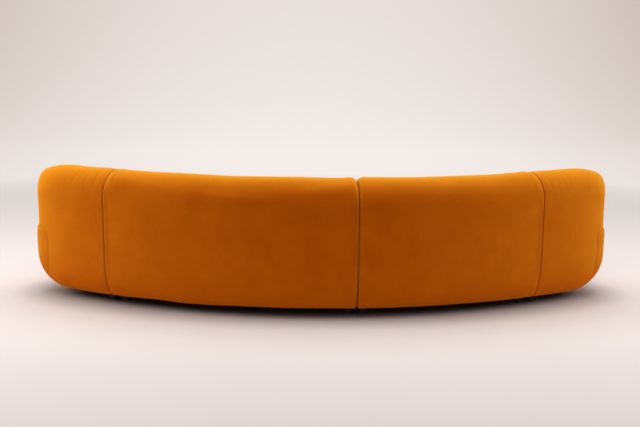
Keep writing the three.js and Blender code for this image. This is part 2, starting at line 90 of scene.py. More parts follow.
class SofaBack(bpy.types.PropertyGroup):
    """Section of the backs"""

    height: FloatProperty(
        name="Back height", description="Top of the back above the floor",
        default=0.72, unit="LENGTH")
    clearance: FloatProperty(
        name="Fabric clearance", description="Height of the hem above the floor",
        default=0.046, unit="LENGTH")
    thickness: FloatProperty(
        name="Thickness", description="Depth of the back near its top",
        default=0.217, unit="LENGTH")
    rake: FloatProperty(
        name="Rake", description="How much thicker the back is at the seat than at its top",
        default=0.033, unit="LENGTH")
    outer_radius: FloatProperty(
        name="Outer shoulder", description="Radius of the outer top edge",
        default=0.131, unit="LENGTH")
    inner_radius: FloatProperty(
        name="Inner shoulder", description="Radius of the top edge on the sitter's side",
        default=0.074, unit="LENGTH")
    taper_in: FloatProperty(
        name="Tuck in", description="How far the hem is drawn in under the face",
        default=0.063, unit="LENGTH")
    taper_height: FloatProperty(
        name="Tuck height", description="Height over which the face curves in to the hem",
        default=0.213, unit="LENGTH")
    end_length: FloatProperty(
        name="Rounded end", description="Length of the rounding at a free end",
        default=0.24, unit="LENGTH")
    shoulder_drop: FloatProperty(
        name="Shoulder drop", description="How far the top falls at the tip of a free end",
        default=0.072, unit="LENGTH")
    corner_length: FloatProperty(
        name="Corner length", description="How far from the middle joint the top starts to fall",
        default=0.034, min=0.001, unit="LENGTH")
    corner_drop: FloatProperty(
        name="Corner drop", description="How far the top falls at the middle joint",
        default=0.009, unit="LENGTH")
    end_fullness: FloatProperty(
        name="End fullness", description="2 rounds a free end evenly, more makes it fuller",
        default=2.1, min=1.5, max=4.0)
    end_lean: FloatProperty(
        name="End lean", description="How much further a free end reaches at half its height",
        default=0.008, unit="LENGTH")


class SofaSeat(bpy.types.PropertyGroup):
    """Section of the seats"""

    depth: FloatProperty(
        name="Depth", description="From the outer face of the back to the seat front",
        default=0.95, unit="LENGTH")
    edge_height: FloatProperty(
        name="Edge height", description="Height of the seat at its edges",
        default=0.4, unit="LENGTH")
    crown: FloatProperty(
        name="Crown", description="How far the middle of the seat stands above its edges",
        default=0.022, unit="LENGTH")
    rear_setback: FloatProperty(
        name="Rear setback", description="How far the seat stays inside the outer face",
        default=0.014, unit="LENGTH")
    rear_edge: FloatProperty(
        name="Rear edge radius", description="Radius of the rear top edge",
        default=0.045, unit="LENGTH")
    front_edge: FloatProperty(
        name="Front edge radius", description="Radius of the front top edge",
        default=0.075, unit="LENGTH")
    taper_height: FloatProperty(
        name="Tuck height", description="Height over which the front curves in to the hem",
        default=0.2, unit="LENGTH")
    end_proud: FloatProperty(
        name="End overhang", description="How far the seat reaches past the tip of the back",
        default=0.01, unit="LENGTH")
    rear_corner: FloatProperty(
        name="Rear corner length", description="Length of the rear corner's rounding in plan",
        default=0.17, unit="LENGTH")
    rear_corner_depth: FloatProperty(
        name="Rear corner depth", description="Depth of the rear corner's rounding in plan",
        default=0.13, unit="LENGTH")
    front_corner: FloatProperty(
        name="Front corner", description="Radius of the front corner in plan",
        default=0.23, unit="LENGTH")
    end_shoulder: FloatProperty(
        name="End shoulder", description="Rounding of the top edge round the free end",
        default=0.06, unit="LENGTH")
    end_taper_in: FloatProperty(
        name="End tuck in", description="How far the hem is drawn in under the free end",
        default=0.23, unit="LENGTH")
    end_taper_height: FloatProperty(
        name="End tuck height", description="Height over which the free end curves in to the hem",
        default=0.175, unit="LENGTH")


class SofaPadding(bpy.types.PropertyGroup):
    """How the pads are filled and drawn"""

    grid: FloatProperty(
        name="Grid", description="Distance between the points of a pad",
        default=0.018, min=0.008, unit="LENGTH")
    puff: FloatProperty(
        name="Puff", description="Most that the filling pushes the fabric out",
        default=0.007, min=0.0, unit="LENGTH")
    slack: FloatProperty(
        name="Slack", description="How much smaller a pad is before it is filled",
        default=0.0015, min=0.0, unit="LENGTH")
    pressure: FloatProperty(
        name="Pressure", description="Pressure of the filling on the fabric", default=4.0)
    frames: IntProperty(
        name="Settling steps", description="Steps that the fabric takes to settle", default=16)
    seam_width: FloatProperty(
        name="Seam width", description="Half the width of the groove at a sewn seam",
        default=0.0035, unit="LENGTH")
    seam_depth: FloatProperty(
        name="Seam depth", description="How far a seam is sunk into the pad",
        default=0.0045, unit="LENGTH")
    hem_bead: FloatProperty(
        name="Hem bead", description="How far the rolled hem stands proud",
        default=0.0032, unit="LENGTH")
    tuck_depth: FloatProperty(
        name="Pleat depth", description="Depth of the small pleats on the shoulders",
        default=0.0013, unit="LENGTH")
    unevenness: FloatProperty(
        name="Unevenness", description="How uneven the foam is under the fabric",
        default=0.0011, unit="LENGTH")
    contact_gap: FloatProperty(
        name="Contact gap", description="Gap between the seat and the back that it leans on",
        default=0.0012, unit="LENGTH")


class SofaColours(bpy.types.PropertyGroup):
    """Finishes and lighting"""

    velvet: FloatVectorProperty(
        name="Velvet", description="Colour of the velvet seen straight on",
        default=(0.54, 0.098, 0.0004), min=0.0, max=1.0, subtype="COLOR")
    velvet_light: FloatVectorProperty(
        name="Velvet, brushed", description="Colour of the velvet where the pile is brushed up",
        default=(0.61, 0.118, 0.0008), min=0.0, max=1.0, subtype="COLOR")
    # Painted sheen highlight: a paler, yellower velvet colour, blended in where the surface faces
    # up and is seen at a slant
    painted_top_sheen: FloatVectorProperty(
        name="Nap", description="Colour of the velvet where the pile is seen from the side",
        default=(0.84, 0.34, 0.012), min=0.0, max=1.0, subtype="COLOR")
    sheen: FloatVectorProperty(
        name="Pile sheen", description="Colour of the light that the pile throws back",
        default=(1.0, 0.52, 0.14), min=0.0, max=1.0, subtype="COLOR")
    floor: FloatVectorProperty(
        name="Floor", description="Colour of the studio floor",
        default=(0.80, 0.735, 0.70), min=0.0, max=1.0, subtype="COLOR")
    backdrop: FloatVectorProperty(
        name="Backdrop", description="Colour of the backdrop behind the middle of the row",
        default=(0.905, 0.85, 0.82), min=0.0, max=1.0, subtype="COLOR")
    # Painted shade: the darker colour that the backdrop's glow turns to towards its sides and top
    backdrop_painted_shade: FloatVectorProperty(
        name="Backdrop edge", description="Colour of the backdrop towards its corners",
        default=(0.59, 0.50, 0.45), min=0.0, max=1.0, subtype="COLOR")


# Fixed values, in metres where nothing else is said

QUARTER = math.pi / 2
# Degrees round the tuck, and share of the bead that the hem stands proud there
HEM_BEAD = ((-89.5, 0.3), (-87.5, 1.0), (-85, 1.2), (-82.5, 0.9), (-79.5, -0.35), (-75, -0.1))
HEM_SHARE = 0.78  # share of the tuck's quarter turn that lies above the rolled hem
HEM_RETURN = (0.004, 0.001)  # how far behind and above the hem the cover's edge ends
JOINT_FACE_STEPS = (0.006, 0.02, 0.045, 0.08)  # further rings on a flat joint face
END_FACE_STEPS = (0.012, 0.03, 0.052)  # further rings on a seat's flat end face
SEAT_CORNER_POWER = 3  # 2 rounds a seat corner like an ellipse, more makes it squarer
TOUCH = 1e-4  # how far off a face may be and still count as lying in a plane
SHARP_ANGLE = math.radians(48)  # edges that turn more than this stay crisp

BACK_SEED, SEAT_SEED = 11, 31  # for the waves of the first back and the first seat
WAVES = 14  # how many slow waves run through the foam
WAVE_LENGTHS = (0.12, 0.42)
WAVE_SUM = 2.2  # brings the sum of the waves down to the unevenness asked for
WAVE_AT_JOINT = 0.15  # share of a wave that is left at a joint face
WAVE_CALM = 0.14  # the waves have their full size this far from a joint face
FAR = 9.0  # stands for the distance to a joint that a free end doesn't have

JOINT_HELD = (0.004, 0.03)  # fully held and free, from a joint face
HEM_HELD = (0.01, 0.035)  # fully held and free, above the hem
TIP_HELD = 0.8  # how firmly the outer ends are held
TIP_RANGE = (0.16, 0.06)  # free and held, from the row's end
UNDER_BACK = (-0.32, -0.25)  # free and held, the seat's depth where the back covers it
UNDER_BACK_END = 0.2  # how far from the row's end the back covers the seat

FRAME_GAP = 0.0006  # between the padding and the frame that stands in it
STRAP_GAP = 0.0003  # between the webbing and the seat foam
ROOM_FROM_JOINT, ROOM_FROM_TIP = 0.0123, 0.17  # where the frame's room ends
ROOM_FOOT = -0.04  # the cutters start below the floor
ROOM_STEP = 0.05  # length of a cutter's straight stretches

BACK_SEAM_DROP = 0.062  # the seam on the sitter's side, below the back's top
BACK_SEAM_DEPTHS = (-2.0, -0.12)  # only on the sitter's side
SEAT_SEAM_DROP = 0.03  # the seam round the seat, below its edge
SEAT_SEAM_DEPTHS = (-2.0, 0.2)  # all round
SEAM_BAND = 0.03  # a seam only divides faces that are this close to its height
SEAM_FROM_JOINT, SEAM_FROM_END = 0.001, 0.07  # a seam only divides faces further away
SEAM_SNAP = 0.0004  # corners this close to a seam are used for it
SEAM_LIP = 0.2  # share of its depth by which the fabric stands proud beside a seam
SEAM_FADE = (0.16, 0.09)  # a seam starts to fade and is gone, from the row's end
CORNER_EASE = 1.6  # 1 lowers the top evenly towards the joint, more only close to it
CORNER_HEIGHT = 0.13  # how far below the top the easing reaches
PLEAT_TURN, PLEAT_SPREAD = 0.85, 0.5  # middle and spread round the shoulder, in radians
PLEAT_WIDTH = 0.0075
PLEAT_LIP, PLEAT_LIP_AT, PLEAT_LIP_WIDTH = 0.45, 0.016, 0.009  # share of the depth, place, width

CAMERA_PLACE = (-0.146, -4.936, 1.553)  # from the rearmost point of the row
CAMERA_TURN = (1.35, 11.371, 0.616)  # to the right, down and clockwise, in degrees
CAMERA_LENS, SENSOR_WIDTH = 56.25, 36.0  # millimetres

# Name, size, watts, place and aim of each lamp
LAMPS = (
    ("left_softbox", (1.6, 1.8), 72, (-4.3, -0.5, 1.9), (-0.9, -0.3, 0.4)),
    ("right_softbox", (1.6, 1.8), 53, (4.3, -0.5, 1.9), (0.9, -0.3, 0.4)),
    ("top_softbox", (6.0, 3.8), 168, (0, 0.4, 4.0), (0, 0, 0)),
)
SOFT_LIGHT, SOFT_STRENGTH = (0.96, 0.97, 1.0), 0.27  # the light all round

# Darker and paler tone of each finish under the velvet
FOAM_TONES = (0.80, 0.68, 0.36), (0.86, 0.78, 0.50)
TIMBER_TONES = (0.60, 0.40, 0.20), (0.76, 0.58, 0.36)
TIMBER_PORE = (0.36, 0.21, 0.09)
BOARD_TONES = (0.24, 0.13, 0.055), (0.36, 0.22, 0.11)
WEBBING_TONES = (0.018, 0.018, 0.019), (0.055, 0.053, 0.052)
DUST_CLOTH_TONES = (0.008, 0.008, 0.009), (0.022, 0.021, 0.021)
STAIN_TONES = (0.004, 0.004, 0.004), (0.014, 0.012, 0.011)
STAIN_SCUFF = (0.035, 0.03, 0.027)
STEEL_TONES = (0.42, 0.42, 0.43), (0.62, 0.62, 0.63)


# Modules of the row

MODULES = ("left_end", "left_centre", "right_centre", "right_end")


def module_span(name):
    """From and to along the outer face, gap and edge at both sides, and a free end's side"""
    row = bpy.context.scene.sofa_row
    middle = (row.centre_gap, row.centre_edge)
    outer = (row.end_gap, row.end_edge)
    return {
        "left_end": (-row.row_end, -row.end_joint, None, outer, -1),
        "left_centre": (-row.end_joint, row.centre_joint, outer, middle, 0),
        "right_centre": (row.centre_joint, row.end_joint, middle, outer, 0),
        "right_end": (row.end_joint, row.row_end, outer, None, 1),
    }[name]


# Places on the row: s along the outer face, n outside it, z above the floor


def arc_centre():
    return REARMOST + bpy.context.scene.sofa_row.radius


def place(s, n, z):
    """Points in the packed frame"""
    radius = bpy.context.scene.sofa_row.radius
    s, n, z = np.broadcast_arrays(s, n, z)
    x = (radius + n) * np.sin(s / radius)
    y = arc_centre() - (radius + n) * np.cos(s / radius)
    return np.stack([x, y, z], -1)


def row_coordinates(points):
    """The s, n and z of points in the packed frame"""
    radius = bpy.context.scene.sofa_row.radius
    dx, dy = points[:, 0], arc_centre() - points[:, 1]
    return np.arctan2(dx, dy) * radius, np.hypot(dx, dy) - radius, points[:, 2]


def seam_distance(name, points):
    """How far each point is from the joint faces of its module"""
    s = row_coordinates(points)[0]
    start, finish, start_edge, finish_edge, _ = module_span(name)
    from_start = s - start - start_edge[0] / 2 if start_edge else np.full(len(s), FAR)
    from_finish = finish - s - finish_edge[0] / 2 if finish_edge else np.full(len(s), FAR)
    return np.minimum(from_start, from_finish)


def ramp(values, low, high):
    """0 at low, 1 at high, with a smooth start and finish"""
    share = np.clip((values - low) / (high - low), 0, 1)
    return share * share * (3 - 2 * share)


# Outlines


def bend(centre, reach, turn, spacing):
    """Points on a quarter of an ellipse, turn being its first and last angle"""
    count = max(math.ceil((reach[0] + reach[1]) * 0.8 / spacing), 6)
    return [(centre[0] + reach[0] * math.cos(angle), centre[1] + reach[1] * math.sin(angle))
            for angle in np.linspace(*turn, count + 1)]


def rolled_hem(centre, reach, side):
    """The lowest part of a tucked-in face, where the cover is rolled into a thin bead"""
    bead = bpy.context.scene.sofa_padding.hem_bead
    points = []
    for degrees, share in HEM_BEAD:
        angle = math.radians(degrees)
        points.append((centre[0] + side * (reach[0] + bead * share) * math.cos(angle),
                       centre[1] + (reach[1] + bead * share) * math.sin(angle)))
    return points if side > 0 else points[::-1]


def filled(points, spacing):
    """The closed outline with straight stretches divided, and its doubled points dropped"""
    result = []
    for i, (n, z) in enumerate(points):
        after = points[(i + 1) % len(points)]
        length = math.hypot(after[0] - n, after[1] - z)
        if length < 1e-5:
            continue
        steps = max(int(round(length / spacing)), 1)
        result += [(n + (after[0] - n) * k / steps, z + (after[1] - z) * k / steps)
                   for k in range(steps)]
    return np.array(result)


def back_outline(spacing):
    """Section of a back, from the hem up its outer face and down the sitter's side"""
    back, seat = bpy.context.scene.sofa_back, bpy.context.scene.sofa_seat
    inner = -back.thickness - back.rake
    foot = (-back.taper_in, back.clearance + back.taper_height)
    tuck = (back.taper_in, back.taper_height)
    outer_shoulder = (-back.outer_radius, back.height - back.outer_radius)
    inner_shoulder = (back.inner_radius - back.thickness, back.height - back.inner_radius)
    return filled([
        (-back.taper_in - HEM_RETURN[0], back.clearance + HEM_RETURN[1]),
        *rolled_hem(foot, tuck, 1),
        *bend(foot, tuck, (-QUARTER * HEM_SHARE, 0), spacing),
        *bend(outer_shoulder, (back.outer_radius,) * 2, (0, QUARTER), spacing),
        *bend(inner_shoulder, (back.inner_radius,) * 2, (QUARTER, 2 * QUARTER), spacing * 0.7),
        (inner, seat.edge_height),
        (inner, back.clearance),
    ], spacing)


def seat_outline(spacing):
    """Section of a seat, from the rear hem over its crown to the front hem"""
    back, seat = bpy.context.scene.sofa_back, bpy.context.scene.sofa_seat
    rear, front = -seat.rear_setback, -seat.depth
    crown_from, crown_to = rear - seat.rear_edge, front + seat.front_edge
    shares = np.linspace(0, 1, int((crown_from - crown_to) / spacing))[1:-1]
    crown = [(crown_from + (crown_to - crown_from) * share,
              seat.edge_height + seat.crown * math.sin(math.pi * share)) for share in shares]
    foot, tuck = back.clearance + seat.taper_height, (back.taper_in, seat.taper_height)
    front_foot = (front + back.taper_in, foot)
    return filled([
        *bend((rear - back.taper_in, foot), tuck, (-QUARTER, 0), spacing),
        *bend((crown_from, seat.edge_height - seat.rear_edge), (seat.rear_edge,) * 2,
              (0, QUARTER), spacing),
        *crown,
        *bend((crown_to, seat.edge_height - seat.front_edge), (seat.front_edge,) * 2,
              (QUARTER, 2 * QUARTER), spacing * 0.8),
        *bend(front_foot, tuck, (2 * QUARTER, (2 + HEM_SHARE) * QUARTER), spacing),
        *rolled_hem(front_foot, tuck, -1),
        (front + back.taper_in + HEM_RETURN[0], back.clearance + HEM_RETURN[1]),
    ], spacing)


def drawn_in(loop, distance):
    """The closed outline moved inwards"""
    before, after = loop - np.roll(loop, 1, 0), np.roll(loop, -1, 0) - loop
    before /= np.linalg.norm(before, axis=1)[:, None]
    after /= np.linalg.norm(after, axis=1)[:, None]
    normal = np.stack([-before[:, 1] - after[:, 1], before[:, 0] + after[:, 0]], -1)
    normal /= np.linalg.norm(normal, axis=1)[:, None]
    lean = normal[:, 1] * before[:, 0] - normal[:, 0] * before[:, 1]
    return loop + normal * (distance / np.maximum(lean, 0.5))[:, None]


def roundness(share, power):
    return (1 - np.clip(share, 0, 1) ** power) ** (1 / power)


def fall(left, length, power=2):
    """How far a rounding of this length has come in, as a share, this far from its end"""
    return 1 - float(roundness(1 - left / length, power))


def scaled_heights(loop, waist, rise, dip):
    """The outline's heights, drawn towards its waist by one share above it and one below"""
    height = loop[:, 1] - waist
    return waist + height * np.where(height > 0, rise, dip)


# Rings of points along a module


def joint_rings(loop, s, inward, edge):
    """From the pad's full section to the middle of its flat joint face"""
    gap, radius = edge
    face = s + inward * gap / 2
    rings = []
    for angle in np.linspace(0, QUARTER, 6):
        inset = radius * (1 - math.cos(angle))
        at = face + inward * radius * (1 - math.sin(angle))
        rings.append((at, drawn_in(loop, inset)))
    rings += [(face, drawn_in(loop, radius + step)) for step in JOINT_FACE_STEPS]
    return rings


def back_end_rings(loop, side):
    """The rounded free end of a back, which falls and comes in towards its tip"""
    row, back = bpy.context.scene.sofa_row, bpy.context.scene.sofa_back
    power, middle = back.end_fullness, -back.thickness / 2
    waist = (back.clearance + back.height) / 2
    rings = []
    for angle in np.linspace(0, QUARTER, 15)[:-1]:
        share = math.sin(angle) ** (2 / power)
        width = float(roundness(share, power))
        rise = 1 - back.shoulder_drop / (back.height - waist) * (1 - width)
        dip = 1 - back.taper_height / (waist - back.clearance) * (1 - width)
        n = middle + (loop[:, 0] - middle) * width
        z = scaled_heights(loop, waist, rise, dip)
        low = np.clip(1 - (z - waist) / (back.height - waist), 0, 1)
        reach = row.row_end + back.end_lean * share * low - back.end_length * (1 - share)
        rings.append((side * reach, np.stack([n, z], -1)))
    return rings


def seat_end_rings(loop, side):
    """The free end of a seat, with rounded corners, a soft top edge and a flat face"""
    back, seat = bpy.context.scene.sofa_back, bpy.context.scene.sofa_seat
    tip = bpy.context.scene.sofa_row.row_end + seat.end_proud
    rear, front = -seat.rear_setback, -seat.depth
    waist = (back.clearance + seat.edge_height) / 2
    corner = SEAT_CORNER_POWER
    rings = []
    for angle in np.linspace(0, QUARTER, 17):
        left = seat.front_corner * (1 - math.sin(angle) ** (2 / corner))
        top = fall(left, seat.end_shoulder)
        foot = fall(left, seat.end_taper_in)
        rise = 1 - seat.end_shoulder / (seat.edge_height - waist) * top
        dip = 1 - seat.end_taper_height / (waist - back.clearance) * foot
        rear_at = rear - seat.rear_corner_depth * fall(left, seat.rear_corner, corner)
        front_at = front + seat.front_corner * fall(left, seat.front_corner, corner)
        n = front_at + (loop[:, 0] - front) * (rear_at - front_at) / (rear - front)
        z = scaled_heights(loop, waist, rise, dip)
        rings.append((side * (tip - left), np.stack([n, z], -1)))
    face = rings[-1][1]
    rings += [(side * tip, drawn_in(face, step)) for step in END_FACE_STEPS]
    return rings


def pad_rings(name, loop, end_rings, spacing):
    """The rings of a whole pad, from one side of its module to the other"""
    start, finish, start_edge, finish_edge, side = module_span(name)
    first = end_rings(loop, -1) if side < 0 else joint_rings(loop, start, 1, start_edge)
    last = end_rings(loop, 1) if side > 0 else joint_rings(loop, finish, -1, finish_edge)
    begin, end = np.mean(first[0][0]), np.mean(last[0][0])
    steps = max(int(round((end - begin) / spacing)), 2)
    between = [(s, loop) for s in np.linspace(begin, end, steps + 1)[1:-1]]
    return [*reversed(first), *between, *last]


# Meshes


class Editing:
    """A mesh opened for bmesh, and written back at the end of the with block"""

    def __init__(self, mesh):
        self.mesh, self.work = mesh, bmesh.new()

    def __enter__(self):
        self.work.from_mesh(self.mesh)
        return self.work

    def __exit__(self, *problem):
        self.work.to_mesh(self.mesh)
        self.work.free()
        self.mesh.update()


def new_object(name, data):
    piece = bpy.data.objects.new(name, data)
    bpy.context.scene.collection.objects.link(piece)
    return piece


def lofted(name, rings):
    """A closed mesh through rings of points that all have the same count"""
    count = len(rings[0][1])
    points = np.concatenate([place(s, loop[:, 0], loop[:, 1]) for s, loop in rings])
    faces = []
    for at in range(0, (len(rings) - 1) * count, count):
        for i in range(count):
            j = (i + 1) % count
            faces.append((at + i, at + j, at + count + j, at + count + i))
    last = (len(rings) - 1) * count
    faces.append(tuple(range(count - 1, -1, -1)))
    faces.append(tuple(range(last, last + count)))
    mesh = bpy.data.meshes.new(name)
    mesh.from_pydata(points.tolist(), [], faces)
    with Editing(mesh) as work:
        bmesh.ops.recalc_face_normals(work, faces=work.faces)
    return new_object(name, mesh)


def vectors(items, field):
    """A row of three numbers for each item"""
    values = np.empty(len(items) * 3, np.float32)
    items.foreach_get(field, values)
    return values.reshape(-1, 3).astype(float)


def coordinates(mesh):
    return vectors(mesh.vertices, "co")


def normals(mesh):
    return vectors(mesh.vertex_normals, "vector")


def set_coordinates(mesh, points):
    mesh.vertices.foreach_set("co", np.asarray(points, np.float32).ravel())
    mesh.update()


def push_in(mesh, points, depth):
    """Moves the points against their normals"""
    set_coordinates(mesh, points - normals(mesh) * depth[:, None])


def bake(piece):
    """Applies every modifier"""
    bpy.context.view_layer.update()
    graph = bpy.context.evaluated_depsgraph_get()
    mesh = bpy.data.meshes.new_from_object(piece.evaluated_get(graph))
    old = piece.data
    piece.modifiers.clear()
    piece.data = mesh
    mesh.name = piece.name
    bpy.data.meshes.remove(old)


def rounded_bar(ends, n_range, z_range):
    """A plain curved block, used to cut the frame's room out of the padding"""
    loop = np.array([(n_range[0], z_range[0]), (n_range[1], z_range[0]),
                     (n_range[1], z_range[1]), (n_range[0], z_range[1])])
    steps = max(int((ends[1] - ends[0]) / ROOM_STEP), 2)
    return lofted("room", [(s, loop) for s in np.linspace(*ends, steps)])


def split_wide_faces(mesh):
    """Splits every face with more than four corners, which the cuts need"""
    with Editing(mesh) as work:
        wide = [face for face in work.faces if len(face.verts) > 4]
        bmesh.ops.triangulate(work, faces=wide, quad_method="BEAUTY", ngon_method="BEAUTY")


def cut(piece, cutter):
    """Cuts the cutter's room out of the piece, and drops the cutter"""
    spent = cutter.data
    split_wide_faces(piece.data)
    split_wide_faces(spent)
    modifier = piece.modifiers.new("cut", "BOOLEAN")
    modifier.operation = "DIFFERENCE"
    modifier.object = cutter
    modifier.solver = "MANIFOLD"
    bake(piece)
    bpy.data.objects.remove(cutter)
    bpy.data.meshes.remove(spent)


def keep_largest_body(mesh):
    """Drops loose slivers that a cut can leave"""
    with Editing(mesh) as work:
        work.verts.ensure_lookup_table()
        unseen, bodies = set(work.verts), []
        while unseen:
            body, edge = set(), [unseen.pop()]
            while edge:
                vert = edge.pop()
                body.add(vert)
                for link in vert.link_edges:
                    other = link.other_vert(vert)
                    if other in unseen:
                        unseen.discard(other)
                        edge.append(other)
            bodies.append(body)
        bodies.sort(key=len)
        for body in bodies[:-1]:
            bmesh.ops.delete(work, geom=list(body), context="VERTS")


# Padding


def held_places(name, points):
    """How firmly each point is held near the joint faces, the hem and the outer ends"""
    end = bpy.context.scene.sofa_row.row_end
    clearance = bpy.context.scene.sofa_back.clearance
    joint = 1 - ramp(seam_distance(name, points), *JOINT_HELD)
    hem = 1 - ramp(points[:, 2], clearance + HEM_HELD[0], clearance + HEM_HELD[1])
    along = np.abs(row_coordinates(points)[0])
    tip = TIP_HELD * ramp(along, end - TIP_RANGE[0], end - TIP_RANGE[1])
    return np.maximum(np.maximum(joint, hem), tip)


def held_seat_places(name, points):
    """The same for a seat, which is also held where the back stands on it"""
    s, n, _ = row_coordinates(points)
    covered = np.abs(s) < bpy.context.scene.sofa_row.row_end - UNDER_BACK_END
    return np.maximum(held_places(name, points), ramp(n, *UNDER_BACK) * covered)


def filled_pads(kind, outline, end_rings, held):
    padding = bpy.context.scene.sofa_padding
    loop = drawn_in(outline(padding.grid), padding.slack)
    pieces = [
        lofted(f"{name}_{kind}_upholstery", pad_rings(name, loop, end_rings, padding.grid))
        for name in MODULES
    ]
    weights = [held(name, coordinates(pad.data)) for name, pad in zip(MODULES, pieces)]
    swell(pieces, weights, len(loop))
    return pieces


def swell(pieces, weights, around):
    """Puffs the pads up with the pressure of their filling while their held points stay.

    Along a pad the usual section is kept, so that only its ends, edges and puckers differ."""
    scene, padding = bpy.context.scene, bpy.context.scene.sofa_padding
    starts = [coordinates(piece.data) for piece in pieces]
    for piece, weight in zip(pieces, weights):
        group = piece.vertex_groups.new(name="held")
        levels = np.round(weight, 1)
        for level in np.unique(levels[levels > 0]):
            group.add(np.nonzero(levels == level)[0].tolist(), float(level), "REPLACE")
        cloth = piece.modifiers.new("swell", "CLOTH")
        fabric = cloth.settings
        fabric.quality = 5
        fabric.mass = 0.4
        fabric.tension_stiffness = fabric.compression_stiffness = 18
        fabric.shear_stiffness = 8
        fabric.bending_stiffness = 2
        fabric.use_pressure = True
        fabric.uniform_pressure_force = padding.pressure
        fabric.effector_weights.gravity = 0
        fabric.vertex_group_mass = "held"
        cloth.collision_settings.use_collision = False
        cloth.point_cache.frame_start = 1
        cloth.point_cache.frame_end = padding.frames
    for step in range(1, padding.frames + 1):
        scene.frame_set(step)
    graph = bpy.context.evaluated_depsgraph_get()
    for piece, start, weight in zip(pieces, starts, weights):
        travel = coordinates(piece.evaluated_get(graph).data) - start
        length = np.linalg.norm(travel, axis=1)[:, None] + 1e-9
        travel *= padding.puff * np.tanh(length / padding.puff) / length
        piece.modifiers.clear()
        piece.vertex_groups.clear()
        set_coordinates(piece.data, start)
        outward = normals(piece.data)
        free = (1 - weight).reshape(-1, around)
        rise = (travel * outward).sum(1).reshape(-1, around)
        usual = (rise * free).sum(0) / (free.sum(0) + 1e-6)
        surplus = (usual - padding.slack)[None, :] * free
        set_coordinates(piece.data, start + travel - outward * surplus.reshape(-1, 1))
    scene.frame_set(1)


def refine(piece):
    """One subdivision of the sides, with the flat ends opened for it and filled again"""
    with Editing(piece.data) as work:
        ends = [face for face in work.faces if len(face.verts) > 4]
        bmesh.ops.delete(work, geom=ends, context="FACES_ONLY")
    modifier = piece.modifiers.new("refine", "SUBSURF")
    modifier.levels = modifier.render_levels = 1
    bake(piece)
    with Editing(piece.data) as work:
        rims = [edge for edge in work.edges if edge.is_boundary]
        bmesh.ops.holes_fill(work, edges=rims, sides=0)
        bmesh.ops.recalc_face_normals(work, faces=work.faces)


def make_uneven(name, mesh, seed):
    """Slow waves of the foam under the fabric, which die out towards the joint faces"""
    size = bpy.context.scene.sofa_padding.unevenness
    longest = WAVE_LENGTHS[1]
    chance = np.random.default_rng(seed)
    points = coordinates(mesh)
    waves = np.zeros(len(points))
    for _ in range(WAVES):
        direction = chance.normal(size=3)
        direction /= np.linalg.norm(direction)
        length = chance.uniform(*WAVE_LENGTHS)
        phase = 2 * math.pi * (points @ direction) / length + chance.uniform(0, 6.3)
        waves += length / longest * np.sin(phase)
    away = ramp(seam_distance(name, points), 0.0, WAVE_CALM)
    waves *= size / WAVE_SUM * (WAVE_AT_JOINT + (1 - WAVE_AT_JOINT) * away)
    push_in(mesh, points, -waves)


def ease_corner(mesh):
    """Lowers the top of the back towards the middle joint, where the two corners are eased"""
    row, back = bpy.context.scene.sofa_row, bpy.context.scene.sofa_back
    points = coordinates(mesh)
    s, _, z = row_coordinates(points)
    near = np.clip(1 - np.abs(s - row.centre_joint) / back.corner_length, 0, 1)
    high = ramp(z, back.height - CORNER_HEIGHT, back.height)
    points[:, 2] -= back.corner_drop * near ** CORNER_EASE * high
    set_coordinates(mesh, points)


def pleat(mesh, arcs):
    """Small pleats on the outer shoulder, where the cover is drawn round a free end"""
    back = bpy.context.scene.sofa_back
    points = coordinates(mesh)
    s, n, z = row_coordinates(points)
    up = np.arctan2(z - back.height + back.outer_radius, n + back.outer_radius) - PLEAT_TURN
    near = np.exp(-(up / PLEAT_SPREAD) ** 2)
    near *= (n > -back.outer_radius - 0.03) & (z > back.height - 0.2)
    fold = np.zeros(len(s))
    for arc, lean in arcs:
        across = np.abs(s - arc - lean * up)
        fold += np.exp(-(across / PLEAT_WIDTH) ** 2)
        fold -= PLEAT_LIP * np.exp(-((across - PLEAT_LIP_AT) / PLEAT_LIP_WIDTH) ** 2)
    push_in(mesh, points, bpy.context.scene.sofa_padding.tuck_depth * near * fold)


def sew_seam(name, mesh, height, n_range):
    """A sewn seam at one height, on the part of the pad whose depth is in the range"""
    padding = bpy.context.scene.sofa_padding
    end = bpy.context.scene.sofa_row.row_end
    with Editing(mesh) as work:
        for level in (height - padding.seam_width, height, height + padding.seam_width):
            work.faces.ensure_lookup_table()
            centres = np.array([tuple(face.calc_center_median()) for face in work.faces])
            s, n, z = row_coordinates(centres)
            near = (n > n_range[0]) & (n < n_range[1]) & (np.abs(z - level) < SEAM_BAND)
            near &= seam_distance(name, centres) > SEAM_FROM_JOINT
            near &= np.abs(s) < end - SEAM_FROM_END
            faces = [face for face, chosen in zip(work.faces, near)
                     if chosen and len(face.verts) < 9]
            edges = {edge for face in faces for edge in face.edges}
            corners = {corner for face in faces for corner in face.verts}
            bmesh.ops.bisect_plane(work, geom=[*corners, *edges, *faces], dist=SEAM_SNAP,
                                   plane_co=(0, 0, level), plane_no=(0, 0, 1))
    points = coordinates(mesh)
    s, n, z = row_coordinates(points)
    inside = (n > n_range[0] + 0.02) & (n < n_range[1] - 0.02)
    off = np.abs(z - height) / padding.seam_width
    lip = np.where(np.abs(off - 1) < 0.3, -SEAM_LIP, 0.0)
    depth = padding.seam_depth * np.where(off < 0.3, 1.0, lip)
    fading = 1 - ramp(np.abs(s), end - SEAM_FADE[0], end - SEAM_FADE[1])
    push_in(mesh, points, depth * inside * fading)


